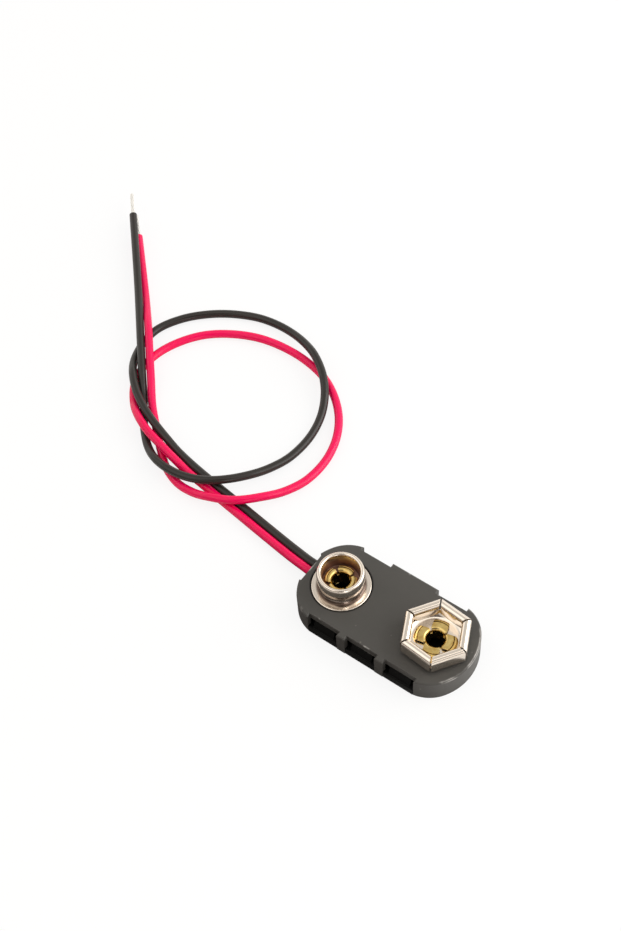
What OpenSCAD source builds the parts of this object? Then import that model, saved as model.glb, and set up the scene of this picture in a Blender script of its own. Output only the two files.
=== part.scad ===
/* [Terminals] */
// Distance between the centres of the stud and the socket
terminal_pitch = 12.7; // [12:0.1:13.4]

/* [Housing] */
// Overall length of the housing
housing_length = 22.2; // [21.6:0.1:26]
// Overall width of the housing
housing_width = 11.3; // [10.6:0.1:12.4]
// Height of the housing, from its back to its top face
housing_height = 3.1; // [3:0.05:4.5]
// Radius of the housing's rounded ends, seen from above
end_radius = 6.6; // [6.3:0.1:9]
// Radius that blends each rounded end into the long sides
corner_radius = 4.5; // [3.6:0.1:4.9]
// Thickness of the top plate
plate_thickness = 0.9; // [0.7:0.05:1]
// Thickness of the skirt around the plate
skirt_thickness = 0.6; // [0.5:0.05:0.8]
// Chamfer along the top edge of the housing
edge_chamfer = 0.15; // [0.05:0.01:0.25]
// Thickness of the back cover's plate
cover_thickness = 0.7; // [0.5:0.05:0.8]
// Gap between the back cover and the shell around it
cover_gap = 0.05; // [0.02:0.01:0.1]

/* [Snap windows] */
// Length of each window in the long sides
window_width = 4; // [3.4:0.1:4.2]
// Width of the teeth that stand between the windows
tooth_width = 1.1; // [0.8:0.1:1.4]
// Height of the cover's rail, which closes the foot of each window
rail_height = 1; // [0.8:0.05:1.3]
// How far the rails lie back from the teeth
rail_recess = 0.05; // [0.02:0.01:0.25]
// Gap at each end of a hook in its window
hook_side_gap = 0.6; // [0.1:0.05:0.9]
// How far each hook slopes out from its top down to its rail
hook_reach = 0.4; // [0.2:0.05:0.4]
// Gap between the top of a hook and the plate above it
hook_top_gap = 0.2; // [0.1:0.05:0.4]
// Thickness of the tongues that carry the hooks
tongue_thickness = 0.5; // [0.4:0.05:0.7]

/* [Lead slot] */
// Width of the slot that the leads leave by
slot_width = 4.2; // [4:0.1:5]
// Height of the back cover's lip below the leads
slot_lip_height = 0.5; // [0.4:0.05:0.55]

/* [Stud] */
// Radius of the stud's flange
flange_radius = 3.45; // [3.2:0.05:3.7]
// Thickness of the flange, which lies flush in the plate
flange_thickness = 0.25; // [0.2:0.05:0.35]
// Gap between the flange and its seat in the plate
flange_gap = 0.08; // [0.04:0.01:0.15]
// Radius of the stud's rim
rim_radius = 2.75; // [2.65:0.05:2.9]
// Thickness of the rolled rim
rim_thickness = 0.55; // [0.45:0.05:0.6]
// Height of the rim, down to where it runs in to the waist
rim_height = 1.15; // [0.9:0.05:1.3]
// Height over which the outside of the rim rounds over to its top
rim_round = 0.5; // [0.3:0.05:0.7]
// How far the rim stands out over the waist below it
rim_overhang = 0.4; // [0.2:0.05:0.45]
// Height of the stud above the plate
stud_height = 2.85; // [2.6:0.05:3.2]
// Depth of the well in the stud
stud_well_depth = 2.1; // [1.7:0.05:2.3]
// Taper of the well, from the rim to its floor
well_taper = 0.05; // [0.02:0.01:0.1]
// Thickness of the sheet that the stud is pressed from
stud_sheet = 0.25; // [0.2:0.05:0.3]

/* [Socket] */
// Distance from the axis to the inner face of each spring side, at its top
socket_grip = 2.65; // [2.55:0.05:2.8]
// How far each spring side leans inwards from foot to top
spring_lean = 0.25; // [0.1:0.05:0.3]
// Height of the socket above the plate
socket_height = 2.45; // [2.3:0.05:2.8]
// Radius of the roll along the top of each side
roll_radius = 0.5; // [0.4:0.02:0.54]
// Length of the straight part that hangs below the roll
roll_drop = 1.45; // [0.6:0.05:1.6]
// Thickness of the sheet that the socket is pressed from
socket_sheet = 0.22; // [0.18:0.02:0.26]
// Radius of the flat floor inside the socket
cup_floor_radius = 2.55; // [2.3:0.05:2.6]
// Radius of the drawn corner between that floor and the sides
cup_fillet = 0.8; // [0.6:0.05:0.9]
// Width of the slits at the six corners
corner_slit = 0.2; // [0.1:0.02:0.3]
// Angle that the socket is turned to on its eyelet
socket_turn = -5; // [-30:0.5:30]

/* [Eyelets] */
// Radius of the hole through each eyelet
eyelet_hole_radius = 1; // [0.85:0.05:1.05]
// Thickness of the eyelet's wall
eyelet_wall = 0.22; // [0.15:0.01:0.25]
// Gap between an eyelet and the holes it passes through
eyelet_gap = 0.05; // [0.02:0.01:0.1]
// Radius of the eyelet's flange at the back of the plate
eyelet_flange_radius = 2; // [1.7:0.1:2.3]
// Gap between the curled petals and the wall of the stud's well
stud_petal_gap = 0.1; // [0.05:0.05:0.3]
// Gap between the curled petals and the edge of the socket's floor
socket_petal_gap = 0.05; // [0.05:0.05:0.3]
// Height of the petals above the floor they are curled over
petal_height = 0.5; // [0.45:0.05:0.6]
// Radius of the bends at the root and at the end of each petal, where there is room
petal_bend = 0.44; // [0.3:0.02:0.44]
// Number of petals that each eyelet is split into
petal_count = 4; // [3:1:5]
// Width of each petal
petal_width = 1.8; // [1.3:0.05:1.9]
// Radius of the corners of each petal
petal_round = 0.6; // [0.3:0.05:0.65]
// Width of the splits between the petals
petal_split = 0.25; // [0.15:0.05:0.4]
// Angle of the first petal in the stud
stud_petal_turn = 11; // [0:1:90]
// Angle of the first petal in the socket
socket_petal_turn = 14; // [0:1:90]

/* [Leads] */
// Diameter of each insulated lead
lead_diameter = 1.05; // [0.9:0.05:1.05]
// Diameter of the stranded conductor
strand_diameter = 0.55; // [0.4:0.05:0.6]
// Length of the tinned ends
tip_length = 4; // [2:0.5:8]
// Height of each solder joint below its eyelet
solder_height = 0.7; // [0.6:0.05:0.8]
// Radius of each solder joint
solder_radius = 0.55; // [0.5:0.05:0.7]
// Distance from the middle of a solder joint to the flat that the conductor meets
solder_flat = 0.25; // [0.15:0.05:0.3]

/* [Hidden] */
$fn = 96;
// Overlap that lets cuts run past the faces they open
over = 0.5;
lead_sides = 8;
socket_sides = 6;
// Half of the angle that each side of the socket takes up
side_angle = 180 / socket_sides;

stud_x = -terminal_pitch / 2;
socket_x = terminal_pitch / 2;
plate_underside = housing_height - plate_thickness;
end_centre = housing_length / 2 - end_radius;
corner_y = housing_width / 2 - corner_radius;
blend_angle = asin(corner_y / (end_radius - corner_radius));
corner_x = end_centre + (end_radius - corner_radius) * cos(blend_angle);
side_face = housing_width / 2 - skirt_thickness;
window_pitch = window_width + tooth_width;
near_windows = [-window_pitch, 0, window_pitch];
far_windows = [-window_pitch, window_pitch];

eyelet_radius = eyelet_hole_radius + eyelet_wall;
bore_radius = eyelet_radius + eyelet_gap;
eyelet_back = plate_underside - eyelet_wall;

stud_base = housing_height - flange_thickness;
stud_top = housing_height + stud_height;
stud_floor = stud_top - stud_well_depth;
waist_radius = rim_radius - rim_overhang;
well_radius = rim_radius - rim_thickness;
well_floor_radius = well_radius - 2 * well_taper;
socket_floor = housing_height + socket_sheet;
stud_petal_reach = well_floor_radius - stud_petal_gap;
socket_petal_reach = cup_floor_radius - socket_petal_gap;

solder_ring = (eyelet_hole_radius + eyelet_flange_radius) / 2;
// Share of the solder's height at which the conductor enters it
solder_entry = 0.4;
solder_level = eyelet_back - solder_height * solder_entry;
bare_stub = 0.4;

// End of the housing that the leads leave by, and the height at which they lie inside
lead_end = -housing_length / 2;
lead_clearance = 0.075;
lead_level = cover_thickness + lead_diameter / 2 + lead_clearance;
exit_level = lead_level - 0.1;

// Points of the black lead from the slot through the knot to its end, measured from the housing's end
black_free = [
    [-0.4, 1.4, exit_level], [-3, 1.8, 0.9], [-6, 2.3, 0.7], [-11, 3.1, 0.6], [-17, 4, 0.6],
    [-23.5, 5.1, 0.9], [-26, 5.7, 1.5], [-28.5, 6.5, 1.8], [-31, 7.6, 1.8], [-33.5, 9.1, 1.8],
    [-35.6, 10.9, 1.7], [-37.4, 13.1, 1], [-38.5, 15.7, 0.6], [-38.6, 19, 0.6], [-37.1, 22.2, 0.6],
    [-34.6, 24.9, 0.6], [-31.4, 27, 0.6], [-27.8, 28.3, 0.6], [-24.1, 28.4, 0.8], [-20.7, 27.5, 1.4],
    [-18, 26.2, 1.8], [-15.8, 24.6, 1.8], [-13.8, 22.4, 1.3], [-12.3, 19.4, 0.7], [-11.6, 16, 0.6],
    [-11.8, 12.6, 0.6], [-12.8, 9.4, 0.9], [-14.4, 6.4, 1.5], [-16.6, 4, 1.8], [-19.4, 2.5, 1.8],
    [-22.2, 2, 1.8], [-24.8, 2.4, 1.5], [-27, 3.5, 0.9], [-29.2, 5.3, 0.6], [-31.1, 7.4, 0.6],
    [-32.7, 9.3, 0.6], [-34, 10.8, 1.2], [-36, 13.1, 1.8], [-38.5, 15.9, 1.8], [-45, 23.1, 1.6],
    [-54, 32.8, 1.6]
];

// Points of the red lead, which lies beside the black one and is tied with it
red_free = [
    [-0.4, 0.32, exit_level], [-3, 0.72, 0.9], [-6, 1.22, 0.7], [-10, 1.86, 0.6], [-15, 2.62, 0.6],
    [-20, 3.4, 0.6],
    [-23.3, 3.8, 1.5], [-26, 4.4, 1.8], [-29.2, 5.4, 1.8], [-31.4, 6.6, 1.4], [-33.3, 8.1, 0.7],
    [-35, 10.2, 0.6], [-36, 13, 0.6], [-35.9, 16, 0.6], [-34.8, 19, 0.6], [-32.8, 21.8, 0.6],
    [-29.8, 24, 0.6], [-26.4, 25.4, 0.6], [-22.8, 25.9, 0.6], [-19.2, 25.7, 0.6], [-15.8, 24.8, 0.6],
    [-12.8, 23, 0.6], [-10.4, 20.6, 0.6], [-8.7, 17.6, 0.6], [-7.9, 14.2, 0.6], [-8.1, 10.9, 0.6],
    [-9.2, 7.8, 0.9], [-11, 4.9, 1.6], [-13.2, 2.8, 1.8], [-15.6, 1.8, 1.6], [-18.4, 1.4, 0.9],
    [-21, 1.6, 0.6], [-23.5, 2.6, 0.6], [-26, 4.5, 0.6], [-28.5, 6.7, 0.6], [-31, 9, 0.7],
    [-33.5, 11.9, 1.4], [-36, 14.72, 1.8], [-38.5, 17.52, 1.8], [-44.2, 23.4, 0.6], [-51.4, 30.7, 0.6]
];

// Whole routes, from the stripped end inside the housing
black_route = concat(
    [[stud_x - 3, 1.4, lead_level]],
    [for (p = black_free) p + [lead_end, 0, 0]]);
red_route = concat(
    [[socket_x - 3, -1.2, lead_level], [stud_x + 4.4, -2.5, lead_level], [stud_x, -2.8, lead_level],
        [stud_x - 3, 0, lead_level]],
    [for (p = red_free) p + [lead_end, 0, 0]]);

function unit(v) = v / norm(v);
function last(list) = list[len(list) - 1];

// Direction of a route at one of its points
function heading(route, i) =
    unit(route[min(i + 1, len(route) - 1)] - route[max(i - 1, 0)]);

// One ring of points around a route
function ring(route, i, radius) =
    let (t = heading(route, i), side = unit(cross(t, [0, 0, 1])), top = cross(side, t))
    [for (k = [0:lead_sides - 1])
        route[i] + radius * (cos(360 * k / lead_sides) * side + sin(360 * k / lead_sides) * top)];

// Where the conductor of a lead meets the solder on the eyelet at a terminal
function solder_way(x, route) = unit([route[0].x - x, route[0].y, 0]);
function solder_point(x, route, distance) =
    [x, 0, solder_level] + (solder_ring + distance) * solder_way(x, route);

// Bare conductor, straight out of the insulation and then level into the solder
function strand_route(x, route) = [
    route[0],
    route[0] + bare_stub * unit(route[0] - route[1]),
    solder_point(x, route, solder_flat + bare_stub),
    solder_point(x, route, solder_flat)
];

// Points along an arc, from one angle to another
function arc(centre, radius, from, to, steps = 8) =
    [for (k = [0:steps])
        centre + radius * [cos(from + (to - from) * k / steps), sin(from + (to - from) * k / steps)]];

// Closed tube swept along a route
module tube(route, diameter) {
    count = len(route);
    points = [for (i = [0:count - 1]) each ring(route, i, diameter / 2)];
    first_cap = [for (k = [0:lead_sides - 1]) k];
    last_cap = [for (k = [lead_sides - 1:-1:0]) (count - 1) * lead_sides + k];
    walls = [for (i = [0:count - 2], k = [0:lead_sides - 1])
        let (a = i * lead_sides + k, b = i * lead_sides + (k + 1) % lead_sides)
        each [[a, a + lead_sides, b], [b, a + lead_sides, b + lead_sides]]];
    polyhedron(points, concat([first_cap], walls, [last_cap]), convexity = 10);
}

// Wedge that opens outwards along X from its apex
module wedge(apex, half_angle, reach, height) {
    half_mouth = reach * tan(half_angle);
    linear_extrude(height)
        polygon([[apex, 0], [apex + reach, half_mouth], [apex + reach, -half_mouth]]);
}

// Upright disc, chamfered along its top edge
module disc(radius, bottom, top, chamfer) {
    rotate_extrude()
        polygon([[0, bottom], [radius, bottom], [radius, top - chamfer], [radius - chamfer, top], [0, top]]);
}

// Solid with the housing's outline, inset from the outside and chamfered along its top edge
module outline_block(inset, bottom, top, chamfer) {
    half_width = housing_width / 2 - inset;
    side_profile = [[-half_width, bottom], [half_width, bottom], [half_width, top - chamfer],
        [half_width - chamfer, top], [chamfer - half_width, top], [-half_width, top - chamfer]];
    rotate([90, 0, 90])
        translate([0, 0, -corner_x])
            linear_extrude(2 * corner_x)
                polygon(side_profile);
    for (turn = [0, 180])
        rotate(turn) {
            for (y = [-corner_y, corner_y])
                translate([corner_x, y, 0])
                    disc(corner_radius - inset, bottom, top, chamfer);
            intersection() {
                translate([end_centre, 0, 0])
                    disc(end_radius - inset, bottom, top, chamfer);
                translate([0, 0, bottom])
                    wedge(end_centre, blend_angle, 2 * end_radius, top - bottom);
            }
        }
}

module at_windows() {
    for (x = near_windows)
        translate([x, 0, 0])
            children();
    for (x = far_windows)
        translate([x, 0, 0])
            mirror([0, 1, 0])
                children();
}

// One window seen from the side, open at the bottom, with its top edges chamfered
module window_outline() {
    half = window_width / 2;
    flare = half + edge_chamfer + over;
    shoulder = housing_height - edge_chamfer;
    polygon([[-half, -over], [half, -over], [half, shoulder], [flare, housing_height + over],
        [-flare, housing_height + over], [-half, shoulder]]);
}

// Moulded shell: plate and skirt in one, open at the back
module top_shell() {
    window_run = housing_width / 2 + 2 * skirt_thickness;
    color("#2b2a29")
    difference() {
        outline_block(0, 0, housing_height, edge_chamfer);
        outline_block(skirt_thickness, -over, plate_underside, 0);
        at_windows() {
            translate([0, -side_face, 0])
                rotate([90, 0, 0])
                    linear_extrude(housing_width)
                        window_outline();
            translate([-window_width / 2, -housing_width, -over])
                cube([window_width, window_run, plate_underside + over]);
        }
        translate([-housing_length, -slot_width / 2, -over])
            cube([housing_length / 2 + skirt_thickness, slot_width, housing_height + 2 * over]);
        translate([-housing_length, -slot_width / 2, -over])
            cube([housing_length - end_centre, slot_width, plate_underside + over]);
        for (x = [stud_x, socket_x])
            translate([x, 0, plate_underside - over])
                cylinder(r = bore_radius, h = plate_thickness + 2 * over);
        translate([stud_x, 0, stud_base])
            cylinder(r = flange_radius + flange_gap, h = flange_thickness + over);
    }
}

// Moulded cover, snapped in from below, with a lip that closes the slot under the leads
module back_cover() {
    inset = skirt_thickness + cover_gap;
    tongue_face = housing_width / 2 - inset;
    hook_face = tongue_face + hook_reach;
    hook_top = plate_underside - hook_top_gap;
    hook_width = window_width - 2 * hook_side_gap;
    hook_profile = [[-hook_face, 0], [-hook_face, rail_height], [-tongue_face, hook_top],
        [tongue_thickness - tongue_face, hook_top], [tongue_thickness - tongue_face, 0]];
    rail_face = housing_width / 2 - rail_recess;
    rail_width = window_width - 2 * cover_gap;
    lip_width = slot_width - 2 * cover_gap;
    color("#262524") {
        outline_block(inset, 0, cover_thickness, 0);
        at_windows() {
            translate([-rail_width / 2, -rail_face, 0])
                cube([rail_width, rail_face - tongue_face + tongue_thickness, rail_height]);
            translate([-hook_width / 2, 0, 0])
                rotate([90, 0, 90])
                    linear_extrude(hook_width)
                        polygon(hook_profile);
        }
        intersection() {
            outline_block(0, 0, slot_lip_height, 0);
            translate([-housing_length, -lip_width / 2, 0])
                cube([housing_length - end_centre, lip_width, slot_lip_height]);
        }
    }
}

// Pressed stud: flange, waist and rolled rim around a well with a holed floor
module stud() {
    rim_half = rim_thickness / 2;
    flange_edge = [flange_radius - flange_thickness / 2, stud_base + flange_thickness / 2];
    band_foot = stud_top - rim_height;
    waist_half = (band_foot - housing_height) / 2;
    waist_curve = (pow(waist_half, 2) + pow(rim_overhang, 2)) / (2 * rim_overhang);
    waist_centre = [waist_radius + waist_curve, housing_height + waist_half];
    waist_angle = asin(waist_half / waist_curve);
    skin_radius = waist_radius - stud_sheet;
    under_floor = stud_floor - stud_sheet;
    profile = concat(
        arc(flange_edge, flange_thickness / 2, -90, 90),
        arc(waist_centre, waist_curve, 180 + waist_angle, 180 - waist_angle, 16),
        [for (a = [0:10:90]) [rim_radius - rim_half * (1 - cos(a)), stud_top - rim_round * (1 - sin(a))]],
        arc([rim_radius - rim_half, stud_top - rim_half], rim_half, 100, 180),
        [[well_radius - well_taper, stud_floor + well_taper], [well_floor_radius, stud_floor],
            [bore_radius, stud_floor], [bore_radius, under_floor], [skin_radius, under_floor],
            [skin_radius, housing_height], [skin_radius + rim_overhang, stud_base]]);
    color("#c9c5bd")
    translate([stud_x, 0, 0])
        rotate_extrude()
            polygon(profile);
}

// Section of one spring side: a leg that rises from the floor and rolls over outwards
module spring_section() {
    roll_x = socket_grip + roll_radius;
    roll_z = housing_height + socket_height - roll_radius;
    foot = socket_grip + spring_lean;
    inner_roll = roll_radius - socket_sheet;
    intersection() {
        difference() {
            translate([roll_x, roll_z])
                circle(roll_radius);
            translate([roll_x, roll_z])
                circle(inner_roll);
        }
        translate([0, roll_z])
            square([2 * roll_x, 2 * roll_radius]);
    }
    polygon([[foot, housing_height], [foot + socket_sheet, housing_height],
        [socket_grip + socket_sheet, roll_z], [socket_grip, roll_z]]);
    translate([roll_x + inner_roll, roll_z - roll_drop])
        square([socket_sheet, roll_drop]);
}

// Pressed socket: six rolled spring sides on a six-sided floor, slit at the corners
module hex_socket() {
    foot = socket_grip + spring_lean;
    floor_apothem = foot + socket_sheet;
    floor_radius = floor_apothem / cos(side_angle);
    cup_radius = (foot + socket_sheet / 2) / cos(side_angle);
    cup_reach = cup_floor_radius + cup_fillet + socket_sheet;
    cup_centre = [cup_floor_radius, socket_floor + cup_fillet];
    cup_profile = concat(arc(cup_centre, cup_fillet, 0, -90),
        [[cup_floor_radius, housing_height], [cup_reach, housing_height],
            [cup_reach, socket_floor + cup_fillet]]);
    reach = socket_grip + 2 * roll_radius;
    slit_apex = corner_slit / 2 / sin(side_angle);
    color("#cfccc6")
    translate([socket_x, 0, 0])
    rotate(socket_turn)
        difference() {
            union() {
                rotate(side_angle)
                    for (k = [0:socket_sides - 1])
                        rotate(2 * side_angle * k)
                            intersection() {
                                rotate([90, 0, 0])
                                    translate([0, 0, -reach])
                                        linear_extrude(2 * reach)
                                            spring_section();
                                translate([0, 0, housing_height])
                                    wedge(slit_apex, side_angle, 2 * reach, socket_height);
                            }
                translate([0, 0, housing_height])
                    cylinder(r = floor_radius, h = socket_sheet, $fn = socket_sides);
                intersection() {
                    rotate_extrude()
                        polygon(cup_profile);
                    translate([0, 0, housing_height])
                        cylinder(r = cup_radius, h = socket_sheet + cup_fillet, $fn = socket_sides);
                }
            }
            translate([0, 0, housing_height - over])
                cylinder(r = bore_radius, h = socket_sheet + 2 * over);
        }
}

// One petal seen from above, from the eyelet's axis to its rounded end
module petal_outline(reach) {
    translate([0, -petal_width / 2])
        square([reach - petal_round, petal_width]);
    translate([0, petal_round - petal_width / 2])
        square([reach, petal_width - 2 * petal_round]);
    for (side = [-1, 1])
        translate([reach - petal_round, side * (petal_width / 2 - petal_round)])
            circle(petal_round);
}

// Brass eyelet: flange at the back, tube through the plate, split end bent flat over a floor
module eyelet(x, floor_z, petal_reach, petal_turn) {
    bend = min(petal_bend, (petal_reach - eyelet_hole_radius) / 2 - eyelet_gap);
    bend_z = floor_z + petal_height - bend;
    root = [eyelet_hole_radius + bend, bend_z];
    end = [petal_reach - bend, bend_z];
    profile = concat(
        [[eyelet_hole_radius, eyelet_back], [eyelet_flange_radius, eyelet_back],
            [eyelet_flange_radius, plate_underside], [eyelet_radius, plate_underside]],
        arc(root, bend - eyelet_wall, 180, 90),
        arc(end, bend - eyelet_wall, 90, 0),
        [[petal_reach - eyelet_wall, floor_z], [petal_reach, floor_z]],
        arc(end, bend, 0, 90),
        arc(root, bend, 90, 180));
    turn = 360 / petal_count;
    color("#c9a648")
    translate([x, 0, 0])
    rotate(petal_turn)
        difference() {
            rotate_extrude()
                polygon(profile);
            translate([0, 0, floor_z - eyelet_wall])
                linear_extrude(petal_height + 2 * eyelet_wall) {
                    difference() {
                        circle(petal_reach + over);
                        for (k = [0:petal_count - 1])
                            rotate(turn * k)
                                petal_outline(petal_reach);
                    }
                    for (k = [0:petal_count - 1])
                        rotate(turn * (k + 1 / 2))
                            translate([0, -petal_split / 2])
                                square([petal_reach, petal_split]);
                }
        }
}

module stud_eyelet() eyelet(stud_x, stud_floor, stud_petal_reach, stud_petal_turn);

module socket_eyelet() eyelet(socket_x, socket_floor, socket_petal_reach, socket_petal_turn);

// Domed solder joint under an eyelet's flange, flat where the conductor runs into it
module solder_joint(x, route) {
    way = solder_way(x, route);
    steps = 8;
    dome = concat([[0, eyelet_back]], [for (k = [0:steps])
        [solder_radius * cos(90 * k / steps), eyelet_back - solder_height * sin(90 * k / steps)]]);
    color("#b9b9b5")
    translate([x, 0, 0])
    rotate(atan2(way.y, way.x))
        difference() {
            translate([solder_ring, 0, 0])
                rotate_extrude()
                    polygon(dome);
            translate([solder_ring + solder_flat, -solder_radius, eyelet_back - solder_height - over])
                cube([solder_radius, 2 * solder_radius, solder_height + 2 * over]);
        }
}

module stud_solder() solder_joint(stud_x, black_route);

module socket_solder() solder_joint(socket_x, red_route);

module black_strands() color("#c8865a") tube(strand_route(stud_x, black_route), strand_diameter);

module red_strands() color("#c8865a") tube(strand_route(socket_x, red_route), strand_diameter);

module black_lead() color("#242221") tube(black_route, lead_diameter);

module red_lead() color("#d4113f") tube(red_route, lead_diameter);

// Tinned end that carries on past the end of a lead
module tip(route) {
    end = last(route);
    run = heading(route, len(route) - 1);
    color("#cfcfca") tube([end, end + tip_length * run], strand_diameter);
}

module black_tip() tip(black_route);

module red_tip() tip(red_route);

top_shell();
back_cover();
stud();
hex_socket();
stud_eyelet();
socket_eyelet();
stud_solder();
socket_solder();
black_strands();
red_strands();
black_lead();
red_lead();
black_tip();
red_tip();
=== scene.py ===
import math

import bpy
from mathutils import Matrix, Vector


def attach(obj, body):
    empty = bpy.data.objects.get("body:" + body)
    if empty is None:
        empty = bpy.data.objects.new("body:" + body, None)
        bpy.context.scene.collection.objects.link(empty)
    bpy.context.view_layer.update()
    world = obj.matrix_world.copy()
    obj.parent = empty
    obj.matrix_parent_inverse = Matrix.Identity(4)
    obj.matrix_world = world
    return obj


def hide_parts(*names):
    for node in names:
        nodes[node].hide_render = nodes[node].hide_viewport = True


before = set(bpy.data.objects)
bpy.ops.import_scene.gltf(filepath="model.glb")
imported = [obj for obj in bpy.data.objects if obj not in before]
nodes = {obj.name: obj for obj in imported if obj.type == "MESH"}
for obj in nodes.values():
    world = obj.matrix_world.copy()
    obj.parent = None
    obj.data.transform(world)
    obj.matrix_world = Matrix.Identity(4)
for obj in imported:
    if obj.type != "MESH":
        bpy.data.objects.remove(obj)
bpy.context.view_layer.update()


# Shell: the black housing, a plate and a skirt moulded in one piece of ABS.
# It has snap windows along both long sides and a slot for the leads at one end.
# Moulded ABS is satin: an even dark grey under soft light, with faint flow and paler edges,
# partly rubbed wear and partly painted highlight, and painted shade in the seat round the stud.
mm = 0.001
stud_x = -6.35 * mm
plastic_ior = 1.54


def linear(hex_colour):
    """sRGB hex to linear red, green, blue and alpha."""
    parts = [int(hex_colour[i:i + 2], 16) / 255 for i in (1, 3, 5)]
    return [p / 12.92 if p <= 0.04045 else ((p + 0.055) / 1.055) ** 2.4 for p in parts] + [1.0]


def feed(tree, node, sockets):
    """Values and links for the sockets of a node."""
    for name, value in sockets.items():
        if isinstance(value, bpy.types.NodeSocket):
            tree.links.new(value, node.inputs[name])
        else:
            node.inputs[name].default_value = value


def add(tree, kind, sockets, **settings):
    """One shader node. A Mix node of colours takes its share at 0 and its colours at 6 and 7, and gives 2."""
    node = tree.nodes.new(kind)
    for name, value in settings.items():
        setattr(node, name, value)
    feed(tree, node, sockets)
    return node


def start_finish(name):
    """A new material, its tree and its shader."""
    finish = bpy.data.materials.new(name)
    finish.use_nodes = True
    return finish, finish.node_tree, finish.node_tree.nodes["Principled BSDF"]


def per_mm(size):
    """Texture scale at which one feature takes up that many millimetres."""
    return 1 / (size * mm)


def from_axis(tree, place, axis_x):
    """Distance of each spot from the upright axis of a terminal."""
    shifted = add(tree, "ShaderNodeVectorMath", {0: place, 1: (axis_x, 0, 0)}, operation="SUBTRACT")
    flat = add(tree, "ShaderNodeVectorMath", {0: shifted.outputs["Vector"], 1: (1, 1, 0)}, operation="MULTIPLY")
    return add(tree, "ShaderNodeVectorMath", {0: flat.outputs["Vector"]}, operation="LENGTH").outputs["Value"]


def dress(node, finish):
    for slot in nodes[node].material_slots:
        slot.material = finish


def moulded_abs(name, dark, pale, worn_and_highlight, shine):
    finish, tree, shader = start_finish(name)
    place = add(tree, "ShaderNodeTexCoord", {}).outputs["Object"]
    along = add(tree, "ShaderNodeSeparateXYZ", {"Vector": place}).outputs
    # Flow marks of about 6 mm shift the tone a little across the plate
    flow = add(tree, "ShaderNodeTexNoise", {"Vector": place, "Scale": per_mm(6), "Detail": 3.0, "Roughness": 0.6})
    tone = add(tree, "ShaderNodeMix", {0: flow.outputs["Fac"], 6: linear(dark), 7: linear(pale)},
               data_type="RGBA")
    # Edges of a moulding are never sharp: these have about 0.12 mm of rounding
    edge = add(tree, "ShaderNodeBevel", {"Radius": 0.12 * mm}, samples=8).outputs["Normal"]
    # Upper edges are paler in a band of about 0.3 mm, in patches of 2 mm: partly rubbed wear and partly
    # a painted highlight, strongest at the socket's end, where the highlight is painted along the edge
    face = add(tree, "ShaderNodeNewGeometry", {}).outputs["Normal"]
    broad = add(tree, "ShaderNodeBevel", {"Radius": 0.3 * mm}, samples=8).outputs["Normal"]
    turned = add(tree, "ShaderNodeVectorMath", {0: broad, 1: face}, operation="DOT_PRODUCT")
    band = add(tree, "ShaderNodeMapRange", {"Value": turned.outputs["Value"], "From Min": 0.999,
                                            "From Max": 0.93})
    rub_and_glint_noise = add(tree, "ShaderNodeTexNoise", {"Vector": place, "Scale": per_mm(2), "Detail": 3.0})
    upper = add(tree, "ShaderNodeMapRange", {"Value": along["Z"], "From Min": 1.8 * mm, "From Max": 2.6 * mm})
    highlight_end_bias = add(tree, "ShaderNodeMapRange", {"Value": along["X"], "From Min": 8.5 * mm, "From Max": 10.4 * mm,
                                              "To Min": 0.58, "To Max": 0.36})
    edge_patches = add(tree, "ShaderNodeMath", {0: rub_and_glint_noise.outputs["Fac"], 1: highlight_end_bias.outputs["Result"]}, operation="SUBTRACT")
    rubbed_and_highlight = add(tree, "ShaderNodeMapRange", {"Value": edge_patches.outputs[0], "From Min": 0, "From Max": 0.1,
                                              "To Max": upper.outputs["Result"]})
    wear_and_highlight = add(tree, "ShaderNodeMath", {0: band.outputs["Result"], 1: rubbed_and_highlight.outputs["Result"]},
               operation="MULTIPLY")
    # The pale edge colour is rubbed wear and painted highlight
    tone = add(tree, "ShaderNodeMix", {0: wear_and_highlight.outputs[0], 6: tone.outputs[2], 7: linear(worn_and_highlight)}, data_type="RGBA")
    # Painted shade darkens the seat's gap round the stud's flange, in a ring 0.15 mm wide
    seat_gap_shade = add(tree, "ShaderNodeMapRange", {"Value": from_axis(tree, place, stud_x), "From Min": 3.7 * mm,
                                            "From Max": 3.55 * mm, "To Max": upper.outputs["Result"]})
    tone = add(tree, "ShaderNodeMix", {0: seat_gap_shade.outputs["Result"], 6: tone.outputs[2], 7: linear("#141312")},
               data_type="RGBA")
    # Dust lies in specks of about 0.1 mm, some 2 mm apart
    dust = add(tree, "ShaderNodeTexVoronoi", {"Vector": place, "Scale": per_mm(1.8)})
    speck = add(tree, "ShaderNodeMapRange", {"Value": dust.outputs["Distance"], "From Min": 0.07,
                                             "From Max": 0.03, "To Max": 0.5})
    tone = add(tree, "ShaderNodeMix", {0: speck.outputs["Result"], 6: tone.outputs[2], 7: linear("#8d8983")},
               data_type="RGBA")
    # Spark-eroded grain is about 0.05 mm, drawn at 0.2 mm so that it shows
    grain = add(tree, "ShaderNodeTexNoise", {"Vector": place, "Scale": per_mm(0.2), "Detail": 2.0})
    gloss = add(tree, "ShaderNodeMapRange", {"Value": grain.outputs["Fac"], "To Min": 0.38, "To Max": 0.52})
    relief = add(tree, "ShaderNodeBump", {"Height": grain.outputs["Fac"], "Distance": 0.008 * mm, "Strength": 0.5,
                                          "Normal": edge})
    feed(tree, shader, {"Base Color": tone.outputs[2], "Roughness": gloss.outputs["Result"], "IOR": plastic_ior,
                        "Normal": relief.outputs["Normal"], "Specular IOR Level": shine})
    return finish


dress("top_shell", moulded_abs("moulded ABS, black", "#454441", "#4f4d4a", "#c8c5c1", shine=0.35))


# Stud: the round male terminal, drawn and rolled from brass sheet and nickel plated.
# Its flange lies in a seat in the plate, and the eyelet inside it clamps it there.
# Bright nickel mirrors what is round it in warm greys, slightly blurred by the pressing.
sheet_edge = 0.06 * mm


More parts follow.
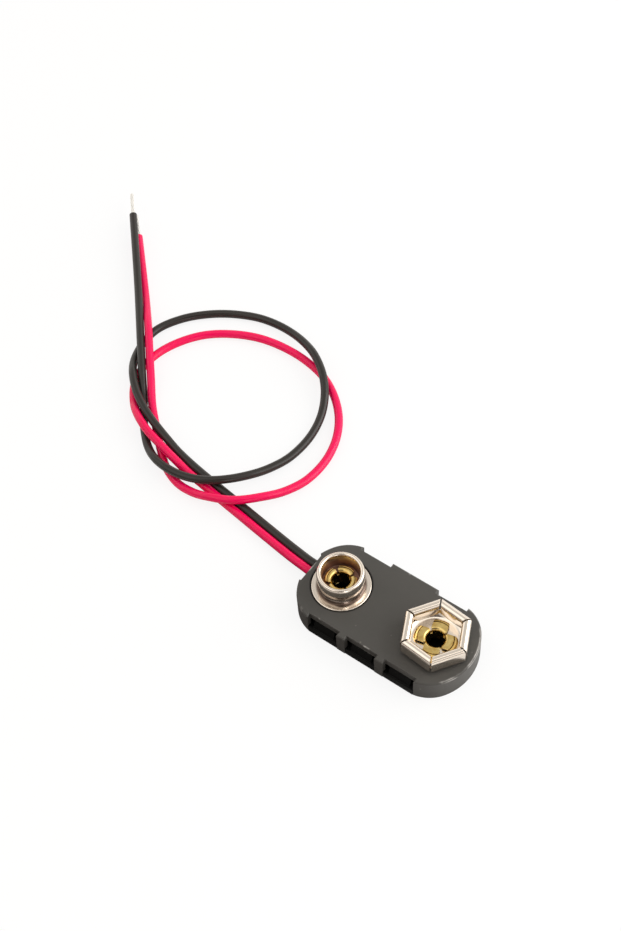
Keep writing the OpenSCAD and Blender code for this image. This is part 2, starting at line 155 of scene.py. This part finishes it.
def nickel_plate(name):
    finish, tree, shader = start_finish(name)
    place = add(tree, "ShaderNodeTexCoord", {}).outputs["Object"]
    height = add(tree, "ShaderNodeSeparateXYZ", {"Vector": place}).outputs["Z"]
    away = from_axis(tree, place, stud_x)
    # Faint ripples of about 0.8 mm are left by the press tool under the plating
    ripple = add(tree, "ShaderNodeTexNoise", {"Vector": place, "Scale": per_mm(0.8), "Detail": 3.0})
    gloss = add(tree, "ShaderNodeMapRange", {"Value": ripple.outputs["Fac"], "To Min": 0.12, "To Max": 0.22})
    edge = add(tree, "ShaderNodeBevel", {"Radius": sheet_edge}, samples=6)
    relief = add(tree, "ShaderNodeBump", {"Height": ripple.outputs["Fac"], "Distance": 0.02 * mm, "Strength": 0.4,
                                          "Normal": edge.outputs["Normal"]})
    # Down inside the stud, within 2.3 mm of its axis, a brown is painted as shade and as reflection of the brass,
    # and the plating is drawn duller there
    inside = add(tree, "ShaderNodeMapRange", {"Value": away, "From Min": 2.32 * mm, "From Max": 2.22 * mm})
    deep = add(tree, "ShaderNodeMapRange", {"Value": height, "From Min": 5.8 * mm, "From Max": 4.8 * mm})
    well_shade = add(tree, "ShaderNodeMath", {0: inside.outputs["Result"], 1: deep.outputs["Result"]},
               operation="MULTIPLY")
    tone = add(tree, "ShaderNodeMix", {0: well_shade.outputs[0], 6: linear("#f2e7da"), 7: linear("#b08c7c")},
               data_type="RGBA")
    gloss = add(tree, "ShaderNodeMath", {0: well_shade.outputs[0], 1: 0.3, 2: gloss.outputs["Result"]},
                operation="MULTIPLY_ADD")
    # The waist browns towards its foot, within 3 mm of the axis: painted shade and dark reflection under the rim
    foot = add(tree, "ShaderNodeMapRange", {"Value": height, "From Min": 4.5 * mm, "From Max": 3.2 * mm})
    close = add(tree, "ShaderNodeMapRange", {"Value": away, "From Min": 3 * mm, "From Max": 2.75 * mm})
    waist_shade = add(tree, "ShaderNodeMath", {0: foot.outputs["Result"], 1: close.outputs["Result"]},
                operation="MULTIPLY")
    tone = add(tree, "ShaderNodeMix", {0: waist_shade.outputs[0], 6: tone.outputs[2], 7: linear("#6b5a50")},
               data_type="RGBA")
    feed(tree, shader, {"Base Color": tone.outputs[2], "Metallic": 1.0, "Roughness": gloss.outputs[0],
                        "Normal": relief.outputs["Normal"]})
    return finish


nickel = nickel_plate("nickel-plated brass")
dress("stud", nickel)


# Socket: the six-sided female terminal, pressed from the same sheet and nickel plated.
# Its six spring sides roll over outwards and are slit at the corners, so each can flex.
dress("hex_socket", nickel)


# Eyelets: two short brass tubes that clamp the terminals to the plate.
# Each is split at its top and the petals are curled over inside its terminal by a riveting punch.
# Plain brass is yellow, duller than the plating, with darker patches where it was bent.
def plain_brass(name, groove_radius):
    finish, tree, shader = start_finish(name)
    place = add(tree, "ShaderNodeTexCoord", {}).outputs["Object"]
    # Tarnish gathers in patches of about 0.7 mm
    tarnish = add(tree, "ShaderNodeTexNoise", {"Vector": place, "Scale": per_mm(0.7), "Detail": 4.0})
    tone = add(tree, "ShaderNodeMix", {0: tarnish.outputs["Fac"], 6: linear("#b58a34"), 7: linear("#ffe9a2")},
               data_type="RGBA")
    gloss = add(tree, "ShaderNodeMapRange", {"Value": tarnish.outputs["Fac"], "To Min": 0.3, "To Max": 0.14})
    # The punch leaves a groove 0.2 mm wide across the petals, round the eyelet's axis, darkened as painted shade
    # in the crease.
    # The two axes mirror each other, so one distance serves both eyelets
    mirrored = add(tree, "ShaderNodeVectorMath", {0: place}, operation="ABSOLUTE").outputs["Vector"]
    away = from_axis(tree, mirrored, -stud_x)
    off = add(tree, "ShaderNodeMath", {0: away, 1: groove_radius}, operation="SUBTRACT")
    off = add(tree, "ShaderNodeMath", {0: off.outputs[0]}, operation="ABSOLUTE")
    groove_dent_and_shade = add(tree, "ShaderNodeMapRange", {"Value": off.outputs[0], "From Min": 0.1 * mm, "From Max": 0},
                 interpolation_type="SMOOTHSTEP")
    tone = add(tree, "ShaderNodeMix", {0: groove_dent_and_shade.outputs["Result"], 6: tone.outputs[2], 7: linear("#5e4212")},
               data_type="RGBA")
    edge = add(tree, "ShaderNodeBevel", {"Radius": sheet_edge}, samples=6)
    dent = add(tree, "ShaderNodeBump", {"Height": groove_dent_and_shade.outputs["Result"], "Distance": 0.06 * mm, "Strength": 1.0,
                                        "Normal": edge.outputs["Normal"]}, invert=True)
    relief = add(tree, "ShaderNodeBump", {"Height": tarnish.outputs["Fac"], "Distance": 0.02 * mm, "Strength": 0.5,
                                          "Normal": dent.outputs["Normal"]})
    feed(tree, shader, {"Base Color": tone.outputs[2], "Metallic": 1.0, "Roughness": gloss.outputs["Result"],
                        "Normal": relief.outputs["Normal"]})
    return finish


dress("stud_eyelet", plain_brass("plain brass, stud eyelet", groove_radius=1.6 * mm))
dress("socket_eyelet", plain_brass("plain brass, socket eyelet", groove_radius=2.05 * mm))


# Conductors and their solder: stripped, twisted strands run to each eyelet's flange inside the housing.
# A dome of solder joins them there, out of sight once the cover is on.
# Tinned copper and solder are the same soft silver grey, a little frosted.
def tinned_copper(name, colour, least_rough, most_rough):
    finish, tree, shader = start_finish(name)
    place = add(tree, "ShaderNodeTexCoord", {}).outputs["Object"]
    # Tin freezes in patches of about 0.4 mm
    frost = add(tree, "ShaderNodeTexNoise", {"Vector": place, "Scale": per_mm(0.4), "Detail": 3.0})
    gloss = add(tree, "ShaderNodeMapRange", {"Value": frost.outputs["Fac"], "To Min": least_rough,
                                             "To Max": most_rough})
    feed(tree, shader, {"Base Color": linear(colour), "Metallic": 1.0, "Roughness": gloss.outputs["Result"]})
    return finish


solder = tinned_copper("tin solder", "#c9c9c4", 0.2, 0.35)
tinned = tinned_copper("tinned copper strands", "#f6f5f2", 0.4, 0.6)
for node in ("stud_solder", "socket_solder"):
    dress(node, solder)
for node in ("black_strands", "red_strands"):
    dress(node, tinned)


# Leads: two stranded copper leads with a PVC sheath, black for negative and red for positive.
# They leave by the slot side by side and are tied together in one loose overhand knot.
# Extruded PVC is smooth and slightly waxy, with a long soft highlight along its upper side.
lead_diameter = 1.05 * mm
# Routes are in millimetres. Outside the housing they run on from its end
lead_end = -11.1
black_route = [(-9.35, 1.4, 1.3)] + [(lead_end + x, y, z) for x, y, z in (
    (-0.4, 1.4, 1.2), (-3, 1.8, 0.9), (-6, 2.3, 0.7), (-11, 3.1, 0.6), (-17, 4, 0.6),
    (-23.5, 5.1, 0.9), (-26, 5.7, 1.5), (-28.5, 6.5, 1.8), (-31, 7.6, 1.8), (-33.5, 9.1, 1.8),
    (-35.6, 10.9, 1.7), (-37.4, 13.1, 1), (-38.5, 15.7, 0.6), (-38.6, 19, 0.6), (-37.1, 22.2, 0.6),
    (-34.6, 24.9, 0.6), (-31.4, 27, 0.6), (-27.8, 28.3, 0.6), (-24.1, 28.4, 0.8), (-20.7, 27.5, 1.4),
    (-18, 26.2, 1.8), (-15.8, 24.6, 1.8), (-13.8, 22.4, 1.3), (-12.3, 19.4, 0.7), (-11.6, 16, 0.6),
    (-11.8, 12.6, 0.6), (-12.8, 9.4, 0.9), (-14.4, 6.4, 1.5), (-16.6, 4, 1.8), (-19.4, 2.5, 1.8),
    (-22.2, 2, 1.8), (-24.8, 2.4, 1.5), (-27, 3.5, 0.9), (-29.2, 5.3, 0.6), (-31.1, 7.4, 0.6),
    (-32.7, 9.3, 0.6), (-34, 10.8, 1.2), (-36, 13.1, 1.8), (-38.5, 15.9, 1.8), (-45, 23.1, 1.6),
    (-54, 32.8, 1.6))]
red_route = [(3.35, -1.2, 1.3), (-1.95, -2.5, 1.3), (-6.35, -2.8, 1.3), (-9.35, 0, 1.3)] + [
    (lead_end + x, y, z) for x, y, z in (
        (-0.4, 0.32, 1.2), (-3, 0.72, 0.9), (-6, 1.22, 0.7), (-10, 1.86, 0.6), (-15, 2.62, 0.6),
        (-20, 3.4, 0.6), (-23.3, 3.8, 1.5), (-26, 4.4, 1.8), (-29.2, 5.4, 1.8), (-31.4, 6.6, 1.4),
        (-33.3, 8.1, 0.7), (-35, 10.2, 0.6), (-36, 13, 0.6), (-35.9, 16, 0.6), (-34.8, 19, 0.6),
        (-32.8, 21.8, 0.6), (-29.8, 24, 0.6), (-26.4, 25.4, 0.6), (-22.8, 25.9, 0.6), (-19.2, 25.7, 0.6),
        (-15.8, 24.8, 0.6), (-12.8, 23, 0.6), (-10.4, 20.6, 0.6), (-8.7, 17.6, 0.6), (-7.9, 14.2, 0.6),
        (-8.1, 10.9, 0.6), (-9.2, 7.8, 0.9), (-11, 4.9, 1.6), (-13.2, 2.8, 1.8), (-15.6, 1.8, 1.6),
        (-18.4, 1.4, 0.9), (-21, 1.6, 0.6), (-23.5, 2.6, 0.6), (-26, 4.5, 0.6), (-28.5, 6.7, 0.6),
        (-31, 9, 0.7), (-33.5, 11.9, 1.4), (-36, 14.72, 1.8), (-38.5, 17.52, 1.8), (-44.2, 23.4, 0.6),
        (-51.4, 30.7, 0.6))]


def lead_slopes(points):
    """Direction of a lead at each point. It turns level at each rise and dip, so it never overshoots."""
    runs = [(b - a).length for a, b in zip(points, points[1:])]
    rates = [(b - a) / run for a, b, run in zip(points, points[1:], runs)]
    slopes = [rates[0]]
    for r0, r1, h0, h1 in zip(rates, rates[1:], runs, runs[1:]):
        slope = (r0 * h1 + r1 * h0) / (h0 + h1)
        if r0.z * r1.z <= 0:
            slope.z = 0
        else:
            slope.z = 3 * (h0 + h1) / ((2 * h1 + h0) / r0.z + (h1 + 2 * h0) / r1.z)
        slopes.append(slope)
    return slopes + [rates[-1]], runs


def lay_lead(name, route, finish):
    points = [Vector(p) * mm for p in route]
    slopes, runs = lead_slopes(points)
    line = bpy.data.curves.new(name, "CURVE")
    line.dimensions = "3D"
    line.resolution_u = 10
    line.bevel_depth = lead_diameter / 2
    line.bevel_resolution = 6
    line.use_fill_caps = True
    spline = line.splines.new("BEZIER")
    spline.bezier_points.add(len(points) - 1)
    runs_before, runs_after = [runs[0]] + runs, runs + [runs[-1]]
    for knot, p, slope, before, after in zip(spline.bezier_points, points, slopes, runs_before, runs_after):
        knot.handle_left_type = knot.handle_right_type = "FREE"
        knot.co = p
        knot.handle_left = p - slope * before / 3
        knot.handle_right = p + slope * after / 3
    lead = bpy.data.objects.new(name, line)
    bpy.context.scene.collection.objects.link(lead)
    line.materials.append(finish)
    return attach(lead, "root")


def extruded_pvc(name, deep, bright):
    finish, tree, shader = start_finish(name)
    place = add(tree, "ShaderNodeTexCoord", {}).outputs["Object"]
    # Pigment is a little uneven over lengths of about 5 mm
    pigment = add(tree, "ShaderNodeTexNoise", {"Vector": place, "Scale": per_mm(5), "Detail": 2.0})
    tone = add(tree, "ShaderNodeMix", {0: pigment.outputs["Fac"], 6: linear(deep), 7: linear(bright)},
               data_type="RGBA")
    # Handling leaves fine scuffs, about 0.3 mm apart
    scuff = add(tree, "ShaderNodeTexNoise", {"Vector": place, "Scale": per_mm(0.3), "Detail": 3.0})
    gloss = add(tree, "ShaderNodeMapRange", {"Value": scuff.outputs["Fac"], "To Min": 0.18, "To Max": 0.3})
    relief = add(tree, "ShaderNodeBump", {"Height": scuff.outputs["Fac"], "Distance": 0.01 * mm, "Strength": 0.3})
    feed(tree, shader, {"Base Color": tone.outputs[2], "Roughness": gloss.outputs["Result"], "IOR": plastic_ior,
                        "Normal": relief.outputs["Normal"], "Specular IOR Level": 0.3})
    return finish


black_lead = lay_lead("black_pvc_lead", black_route, extruded_pvc("extruded PVC, black", "#2a2725", "#33302d"))
red_lead = lay_lead("red_pvc_lead", red_route, extruded_pvc("extruded PVC, red", "#ee0052", "#fa005e"))
for lead, node, slot in ((black_lead, "black_lead", "black_pvc"), (red_lead, "red_lead", "red_pvc")):
    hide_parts(node)


# Tips: the last 4 mm of each lead, stripped bare and tinned.
# Six strands of copper are twisted round a seventh, one turn in 7 mm.
def twist_tip(name, route, node):
    strand, strands, steps = 0.18 * mm, 7, 24
    tip_length, turn_length = 4 * mm, 7 * mm
    before, end = (Vector(p) * mm for p in route[-2:])
    ahead = (end - before).normalized()
    side = ahead.cross(Vector((0, 0, 1))).normalized()
    up = side.cross(ahead)
    bundle = bpy.data.curves.new(name, "CURVE")
    bundle.dimensions = "3D"
    bundle.bevel_depth = strand / 2
    bundle.bevel_resolution = 3
    bundle.use_fill_caps = True
    for k in range(strands):
        spread = strand if k else 0
        spline = bundle.splines.new("POLY")
        spline.points.add(steps)
        for i, point in enumerate(spline.points):
            run = tip_length * i / steps
            turn = 2 * math.pi * (run / turn_length + k / (strands - 1))
            place = end + ahead * run + (side * math.cos(turn) + up * math.sin(turn)) * spread
            point.co = (*place, 1)
    tip = bpy.data.objects.new(name, bundle)
    bpy.context.scene.collection.objects.link(tip)
    bundle.materials.append(tinned)
    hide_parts(node)
    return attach(tip, "root")


black_tip = twist_tip("black_twisted_tip", black_route, "black_tip")
red_tip = twist_tip("red_twisted_tip", red_route, "red_tip")


# Back cover: the flat ABS moulding that closes the shell from below.
# Its rails close the foot of each window, its sloped hooks show above them, and its lip lies under the leads.
# Its ABS is drawn blacker and duller than the shell's, as painted shade that makes the windows look deep.
dress("back_cover", moulded_abs("moulded ABS, cover, darkened as painted shade", "#0c0c0c", "#111110", "#3a3937", shine=0.1))


# Table: a seamless white sheet that the snap lies on, lit evenly enough to lose its edges.
# To the lens most of its look is plain white, in reflections less, and the rest keeps the soft shadow.
# It gives back less light close to the housing's near left, where the housing itself shades it.
sheet_reach, sheet_drop = 3.0, 0.02 * mm
sheet_mesh = bpy.data.meshes.new("white_sheet")
sheet_mesh.from_pydata([(x * sheet_reach, y * sheet_reach, 0) for x, y in ((-1, -1), (1, -1), (1, 1), (-1, 1))],
                       [], [(0, 1, 2, 3)])
sheet = bpy.data.objects.new("white_sheet", sheet_mesh)
sheet.location.z = -sheet_drop
bpy.context.scene.collection.objects.link(sheet)
paper, tree, shader = start_finish("white paper")
tree.nodes.remove(shader)
rays = add(tree, "ShaderNodeLightPath", {}).outputs
mirrored = add(tree, "ShaderNodeMath", {0: rays["Is Glossy Ray"], 1: rays["Is Transmission Ray"]},
               operation="MAXIMUM")
mirror_share = add(tree, "ShaderNodeMath", {0: mirrored.outputs[0], 1: 0.1}, operation="MULTIPLY")
white_share = add(tree, "ShaderNodeMath", {0: rays["Is Camera Ray"], 1: 0.85, 2: mirror_share.outputs[0]},
                  operation="MULTIPLY_ADD")
spot = add(tree, "ShaderNodeNewGeometry", {}).outputs["Position"]
away = add(tree, "ShaderNodeVectorMath", {0: spot, 1: (-8 * mm, -11 * mm, 0)}, operation="DISTANCE")
clear = add(tree, "ShaderNodeMapRange", {"Value": away.outputs["Value"], "From Min": 11 * mm, "From Max": 22 * mm})
bounce = add(tree, "ShaderNodeMix", {0: clear.outputs["Result"], 6: linear("#4a4038"), 7: linear("#f2f2f2")},
             data_type="RGBA")
shade = add(tree, "ShaderNodeMix", {0: rays["Is Camera Ray"], 6: bounce.outputs[2], 7: linear("#ffffff")},
            data_type="RGBA")
matt = add(tree, "ShaderNodeBsdfDiffuse", {"Color": shade.outputs[2]})
plain = add(tree, "ShaderNodeEmission", {"Color": linear("#ffffff"), "Strength": 1.0})
either = add(tree, "ShaderNodeMixShader", {0: white_share.outputs[0], 1: matt.outputs[0], 2: plain.outputs[0]})
feed(tree, tree.nodes["Material Output"], {"Surface": either.outputs[0]})
sheet_mesh.materials.append(paper)


# Light: a cloth tent, bright above and behind, dim and warm low down on the lens's side.
# Its folds, a greyer panel at the back and the dark slit for the lens give the metal something to mirror.
# A broad lamp to the right lights the housing's end, and a small low one draws streaks on leads and metal.
tent = bpy.data.worlds.new("light tent")
bpy.context.scene.world = tent
tent.use_nodes = True
tree = tent.node_tree
bright_way, back_way, lens_way = (-0.1, 0.5, 0.86), (-0.374, 0.443, 0.814), (0.374, -0.443, 0.814)
rays = add(tree, "ShaderNodeLightPath", {}).outputs
way = add(tree, "ShaderNodeTexCoord", {}).outputs["Generated"]
facing = add(tree, "ShaderNodeVectorMath", {0: way, 1: bright_way}, operation="DOT_PRODUCT")
rise = add(tree, "ShaderNodeMapRange", {"Value": facing.outputs["Value"], "From Min": -0.45, "From Max": 0.45},
           interpolation_type="SMOOTHSTEP")
cloth = add(tree, "ShaderNodeMix", {0: rise.outputs["Result"], 6: linear("#4e3e33"), 7: linear("#fffbf5")},
            data_type="RGBA")
folds = add(tree, "ShaderNodeTexNoise", {"Vector": way, "Scale": 2.2, "Detail": 1.0})
fold_tone = add(tree, "ShaderNodeMapRange", {"Value": folds.outputs["Fac"], "From Min": 0.35, "From Max": 0.6,
                                             "To Min": 0.62, "To Max": 1.08})
cloth = add(tree, "ShaderNodeVectorMath", {0: cloth.outputs[2], "Scale": fold_tone.outputs["Result"]},
            operation="SCALE")
to_back = add(tree, "ShaderNodeVectorMath", {0: way, 1: back_way}, operation="DOT_PRODUCT")
panel = add(tree, "ShaderNodeMapRange", {"Value": to_back.outputs["Value"], "From Min": 0.75, "From Max": 0.97,
                                         "To Min": 1.0, "To Max": 0.5}, interpolation_type="SMOOTHSTEP")
cloth = add(tree, "ShaderNodeVectorMath", {0: cloth.outputs["Vector"], "Scale": panel.outputs["Result"]},
            operation="SCALE")
to_lens = add(tree, "ShaderNodeVectorMath", {0: way, 1: lens_way}, operation="DOT_PRODUCT")
slit = add(tree, "ShaderNodeMapRange", {"Value": to_lens.outputs["Value"], "From Min": 0.9, "From Max": 0.96})
cloth = add(tree, "ShaderNodeMix", {0: slit.outputs["Result"], 6: cloth.outputs["Vector"], 7: linear("#33271f")},
            data_type="RGBA")
mirrored = add(tree, "ShaderNodeMath", {0: rays["Is Glossy Ray"], 1: rays["Is Transmission Ray"]},
               operation="MAXIMUM")
mirror_share = add(tree, "ShaderNodeMath", {0: mirrored.outputs[0], 1: 0.04}, operation="MULTIPLY")
white_share = add(tree, "ShaderNodeMath", {0: rays["Is Camera Ray"], 1: mirror_share.outputs[0]},
                  operation="MAXIMUM")
shown = add(tree, "ShaderNodeMix", {0: white_share.outputs[0], 6: cloth.outputs[2], 7: linear("#ffffff")},
            data_type="RGBA")
feed(tree, tree.nodes["Background"], {"Color": shown.outputs[2], "Strength": 1.32})
lamp_aim = Vector((-0.01, 0.006, 0))
for name, place, size, power in (
        ("soft_lamp", (0.22, 0.17, 0.14), 0.3, 0.6),
        ("low_lamp", (0.24, -0.19, 0.08), 0.08, 0.06)):
    lamp_light = bpy.data.lights.new(name, "AREA")
    lamp_light.size = size
    lamp_light.energy = power
    lamp = bpy.data.objects.new(name, lamp_light)
    bpy.context.scene.collection.objects.link(lamp)
    lamp.location = place
    lamp.rotation_euler = (lamp_aim - lamp.location).to_track_quat("-Z", "Y").to_euler()
    lamp.visible_camera = False


# Camera: it looks down on the table from the socket's side, with the leads running away from it.
# Its place, turn and lens repeat the photograph's, for an image of 621 by 931 pixels.
elevation, azimuth, roll = (math.radians(a) for a in (54.546, 40.118, -4.944))
camera_aim, camera_distance = Vector((-0.020398, 0.013062, 0)), 0.181535
focal_pixels, image_pixels, sensor_height = 1485.47, 931, 36
right = Vector((math.cos(azimuth), math.sin(azimuth), 0))
ahead = Vector((-math.sin(azimuth) * math.cos(elevation), math.cos(azimuth) * math.cos(elevation),
                -math.sin(elevation)))
over = right.cross(ahead)
camera_right = right * math.cos(roll) + over * math.sin(roll)
camera_up = over * math.cos(roll) - right * math.sin(roll)
eye = camera_aim - ahead * camera_distance
lens = bpy.data.cameras.new("camera")
lens.sensor_fit = "VERTICAL"
lens.sensor_height = sensor_height
lens.lens = sensor_height * focal_pixels / image_pixels
lens.clip_start = 0.01
camera = bpy.data.objects.new("camera", lens)
bpy.context.scene.collection.objects.link(camera)
camera.matrix_world = Matrix((
    (camera_right.x, camera_up.x, -ahead.x, eye.x),
    (camera_right.y, camera_up.y, -ahead.y, eye.y),
    (camera_right.z, camera_up.z, -ahead.z, eye.z),
    (0, 0, 0, 1)))
bpy.context.scene.camera = camera
bpy.context.scene.view_settings.view_transform = "Standard"
